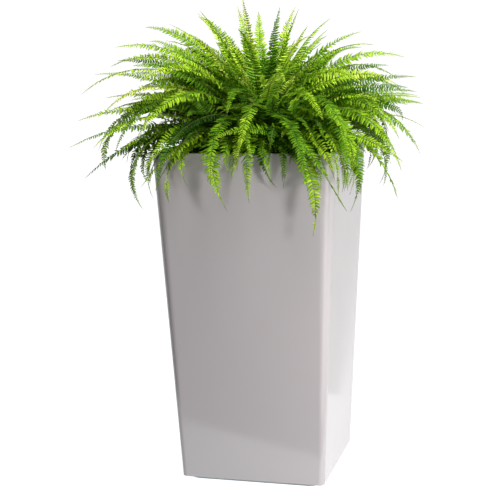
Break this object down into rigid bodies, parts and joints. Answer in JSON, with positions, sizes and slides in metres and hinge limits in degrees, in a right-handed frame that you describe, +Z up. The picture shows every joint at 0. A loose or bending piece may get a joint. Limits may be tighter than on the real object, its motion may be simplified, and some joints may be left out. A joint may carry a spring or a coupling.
{
  "type": "self watering planter",
  "caption": "Tall tapered square floor planter with a lift-out liner, water reservoir, wick cups, filling shaft, float gauge and a potted sword fern.",
  "frame": {"origin": "middle of the foot ring's underside, on the floor", "axes": "+Z up, -Y out of the front face, +X to the right seen from the front"},
  "size_m": [0.7413, 0.7389, 1.0606],
  "materials": {
    "shell_gloss": "smooth, high gloss",
    "foot_plastic": "satin",
    "dark_plastic": "fine grain, satin",
    "handle_plastic": "fine grain, satin",
    "clear_plastic": "clear, polished",
    "gauge_red": "gloss",
    "float_plastic": "satin",
    "seal_rubber": "matt",
    "screw_steel": "zinc plated",
    "drainage_stones": "rough pebbles",
    "potting_soil": "loose, matt",
    "fern_crown_fibre": "fibrous",
    "fern_green": "leaf, slightly glossy"
  },
  "bodies": {
    "shell": {"outer_shell": "shell_gloss", "foot_ring": "foot_plastic", "foot_screws": "screw_steel"},
    "drain_plug": {"shell_drain_plug": "dark_plastic", "shell_plug_seal": "seal_rubber"},
    "liner": {"liner": "dark_plastic", "separator_plate": "dark_plastic", "wick_cup_1": "dark_plastic", "wick_cup_2": "dark_plastic", "wick_cup_3": "dark_plastic", "wick_cup_4": "dark_plastic", "supply_shaft": "dark_plastic", "shaft_collar": "handle_plastic", "fill_lid_pin": "screw_steel", "gauge_window": "clear_plastic", "drainage_layer": "drainage_stones", "soil": "potting_soil", "fern_crown": "fern_crown_fibre", "fronds_low": "fern_green", "fronds_outer": "fern_green", "fronds_middle": "fern_green", "fronds_top": "fern_green"},
    "stopper": {"liner_stopper": "seal_rubber"},
    "handle_left": {"handle_left": "handle_plastic"},
    "handle_right": {"handle_right": "handle_plastic"},
    "lid": {"fill_lid": "handle_plastic"},
    "gauge": {"gauge_float": "float_plastic", "gauge_rod": "float_plastic", "gauge_tip": "gauge_red"}
  },
  "joints": [
    {"name": "liner_lift", "type": "slide", "parent": "shell", "child": "liner", "axis": [0, 0, 1], "range_m": [0, 0.45]},
    {"name": "drain_plug_turn", "type": "hinge", "parent": "shell", "child": "drain_plug", "pos_m": [0, 0, 0.013], "axis": [0, 0, 1], "range_deg": [0, 90]},
    {"name": "stopper_pull", "type": "slide", "parent": "liner", "child": "stopper", "axis": [0, 0, -1], "range_m": [0, 0.006]},
    {"name": "handle_left_slide", "type": "slide", "parent": "liner", "child": "handle_left", "axis": [0, 0, 1], "range_m": [0, 0.06]},
    {"name": "handle_right_slide", "type": "slide", "parent": "liner", "child": "handle_right", "axis": [0, 0, 1], "range_m": [0, 0.06]},
    {"name": "lid_hinge", "type": "hinge", "parent": "liner", "child": "lid", "pos_m": [-0.128, 0.1586, 0.7336], "axis": [-1, 0, 0], "range_deg": [0, 110]},
    {"name": "float_rise", "type": "slide", "parent": "liner", "child": "gauge", "axis": [0, 0, 1], "range_m": [0, 0.04]}
  ]
}
